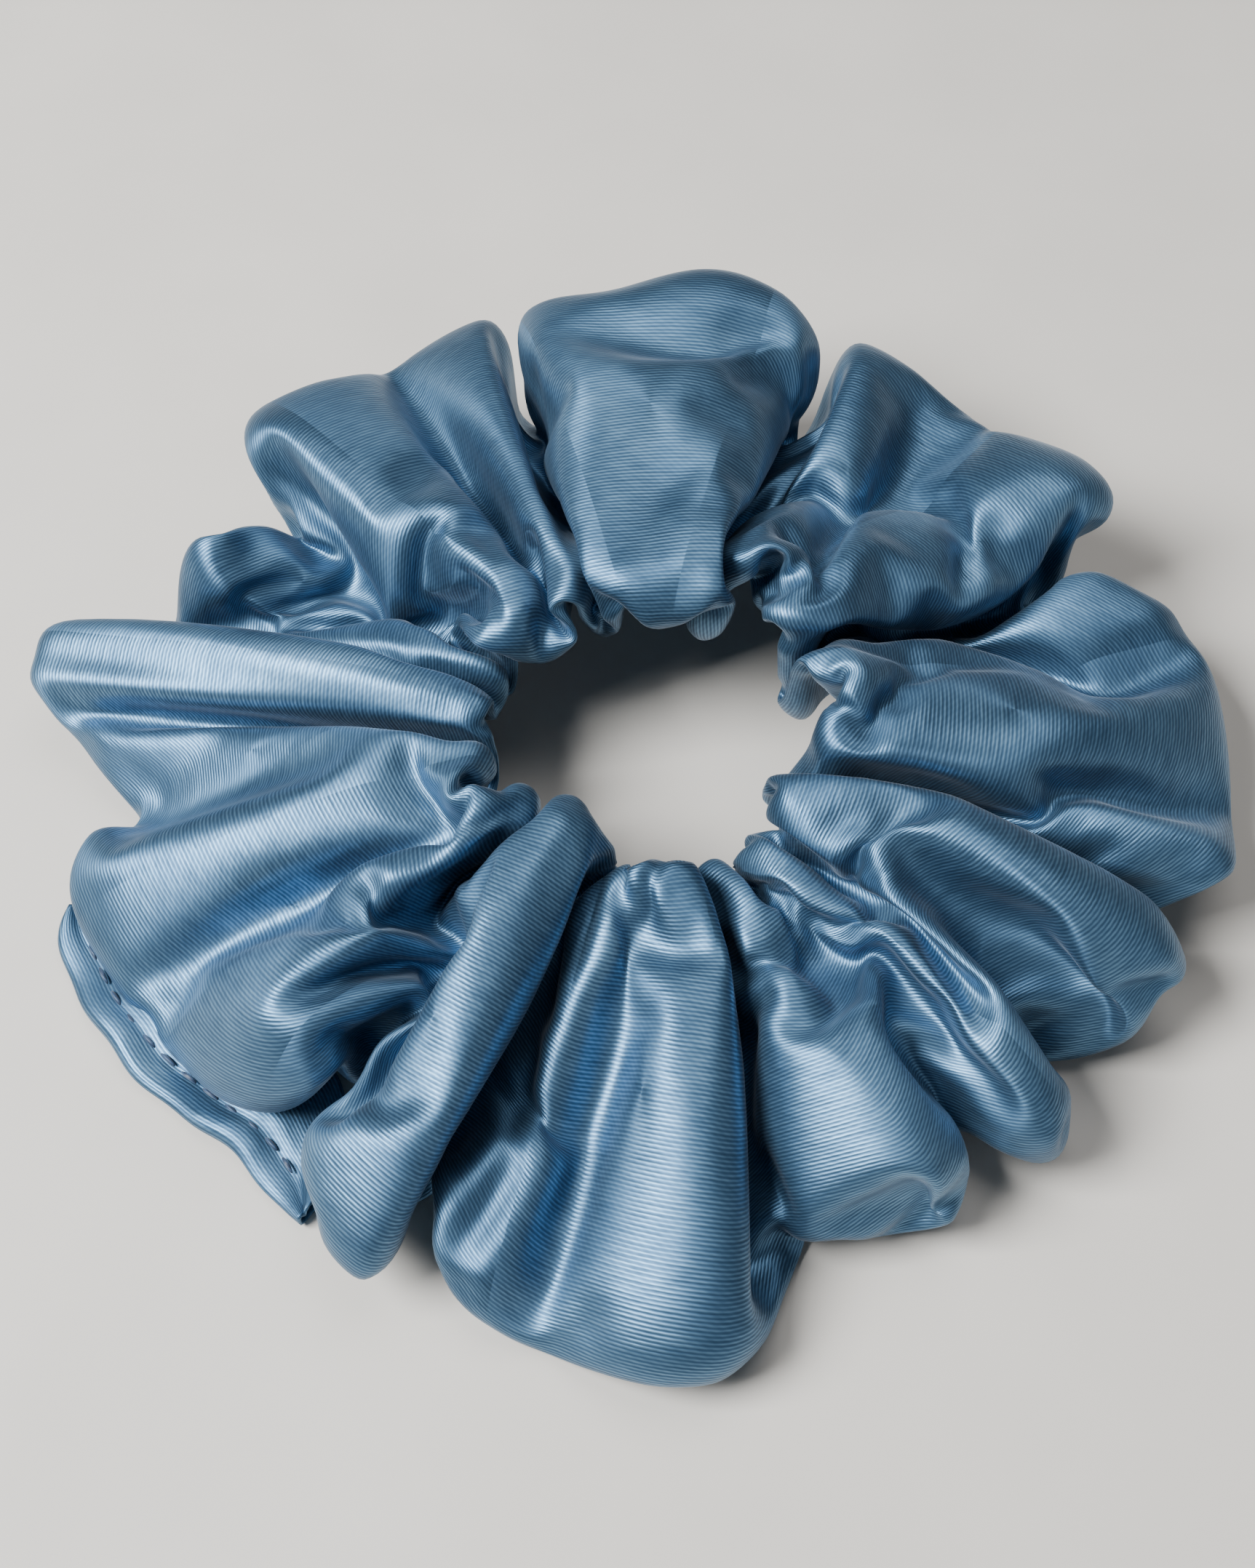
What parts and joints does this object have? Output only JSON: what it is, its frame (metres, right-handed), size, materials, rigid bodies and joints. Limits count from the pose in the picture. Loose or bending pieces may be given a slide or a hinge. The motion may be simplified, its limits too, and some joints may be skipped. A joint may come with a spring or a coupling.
{
  "type": "scrunchie",
  "caption": "Stretch hair tie: a gathered satin tube over a closed elastic loop, which opens evenly to go round hair or a wrist.",
  "frame": {"origin": "centre of the elastic loop, at the middle of the elastic's width", "axes": "+Z along the loop's axis, up from the face it rests on; +X towards the gather opposite the closing seam"},
  "size_m": [0.1186, 0.1137, 0.032],
  "materials": {
    "satin_fabric": "satin",
    "satin_reverse": "matte",
    "elastic_braid": "matte",
    "sewing_thread": "satin"
  },
  "bodies": {
    "gather_01": {"cover_gather_01": "satin_fabric", "elastic_span_01": "elastic_braid", "long_seam_01": "satin_reverse"},
    "gather_02": {"cover_gather_02": "satin_fabric", "elastic_span_02": "elastic_braid", "long_seam_02": "satin_reverse"},
    "gather_03": {"cover_gather_03": "satin_fabric", "elastic_span_03": "elastic_braid", "long_seam_03": "satin_reverse"},
    "gather_04": {"cover_gather_04": "satin_fabric", "elastic_span_04": "elastic_braid", "long_seam_04": "satin_reverse"},
    "gather_05": {"cover_gather_05": "satin_fabric", "elastic_span_05": "elastic_braid", "long_seam_05": "satin_reverse"},
    "gather_06": {"cover_gather_06": "satin_fabric", "elastic_span_06": "elastic_braid", "long_seam_06": "satin_reverse"},
    "gather_07": {"cover_gather_07": "satin_fabric", "elastic_span_07": "elastic_braid", "long_seam_07": "satin_reverse", "cover_tucked_end": "satin_fabric", "closing_topstitch": "sewing_thread", "elastic_lap_tack": "sewing_thread"},
    "gather_08": {"cover_gather_08": "satin_fabric", "elastic_span_08": "elastic_braid", "long_seam_08": "satin_reverse"},
    "gather_09": {"cover_gather_09": "satin_fabric", "elastic_span_09": "elastic_braid", "long_seam_09": "satin_reverse"},
    "gather_10": {"cover_gather_10": "satin_fabric", "elastic_span_10": "elastic_braid", "long_seam_10": "satin_reverse"},
    "gather_11": {"cover_gather_11": "satin_fabric", "elastic_span_11": "elastic_braid", "long_seam_11": "satin_reverse"},
    "gather_12": {"cover_gather_12": "satin_fabric", "elastic_span_12": "elastic_braid", "long_seam_12": "satin_reverse"}
  },
  "joints": [
    {"name": "loop_stretch", "type": "slide", "parent": "gather_01", "child": "gather_02", "axis": [-0.5, 0.866, 0], "range_m": [0, 0.012], "stiffness_N_per_m": 300},
    {"name": "loop_stretch_03", "type": "slide", "parent": "gather_02", "child": "gather_03", "axis": [-0.866, 0.5, 0], "range_m": [0, 0.012], "stiffness_N_per_m": 300},
    {"name": "loop_stretch_04", "type": "slide", "parent": "gather_03", "child": "gather_04", "axis": [-1, 0, 0], "range_m": [0, 0.012], "stiffness_N_per_m": 300},
    {"name": "loop_stretch_05", "type": "slide", "parent": "gather_04", "child": "gather_05", "axis": [-0.866, -0.5, 0], "range_m": [0, 0.012], "stiffness_N_per_m": 300},
    {"name": "loop_stretch_06", "type": "slide", "parent": "gather_05", "child": "gather_06", "axis": [-0.5, -0.866, 0], "range_m": [0, 0.012], "stiffness_N_per_m": 300},
    {"name": "loop_stretch_07", "type": "slide", "parent": "gather_06", "child": "gather_07", "axis": [0, -1, 0], "range_m": [0, 0.012], "stiffness_N_per_m": 300},
    {"name": "loop_stretch_12", "type": "slide", "parent": "gather_01", "child": "gather_12", "axis": [0, -1, 0], "range_m": [0, 0.012], "stiffness_N_per_m": 300},
    {"name": "loop_stretch_11", "type": "slide", "parent": "gather_12", "child": "gather_11", "axis": [-0.5, -0.866, 0], "range_m": [0, 0.012], "stiffness_N_per_m": 300},
    {"name": "loop_stretch_10", "type": "slide", "parent": "gather_11", "child": "gather_10", "axis": [-0.866, -0.5, 0], "range_m": [0, 0.012], "stiffness_N_per_m": 300},
    {"name": "loop_stretch_09", "type": "slide", "parent": "gather_10", "child": "gather_09", "axis": [-1, 0, 0], "range_m": [0, 0.012], "stiffness_N_per_m": 300},
    {"name": "loop_stretch_08", "type": "slide", "parent": "gather_09", "child": "gather_08", "axis": [-0.866, 0.5, 0], "range_m": [0, 0.012], "stiffness_N_per_m": 300}
  ],
  "couplings": [
    {"joint": "loop_stretch_03", "follows": "loop_stretch", "ratio": 1},
    {"joint": "loop_stretch_04", "follows": "loop_stretch", "ratio": 1},
    {"joint": "loop_stretch_05", "follows": "loop_stretch", "ratio": 1},
    {"joint": "loop_stretch_06", "follows": "loop_stretch", "ratio": 1},
    {"joint": "loop_stretch_07", "follows": "loop_stretch", "ratio": 1},
    {"joint": "loop_stretch_12", "follows": "loop_stretch", "ratio": 1},
    {"joint": "loop_stretch_11", "follows": "loop_stretch", "ratio": 1},
    {"joint": "loop_stretch_10", "follows": "loop_stretch", "ratio": 1},
    {"joint": "loop_stretch_09", "follows": "loop_stretch", "ratio": 1},
    {"joint": "loop_stretch_08", "follows": "loop_stretch", "ratio": 1}
  ]
}
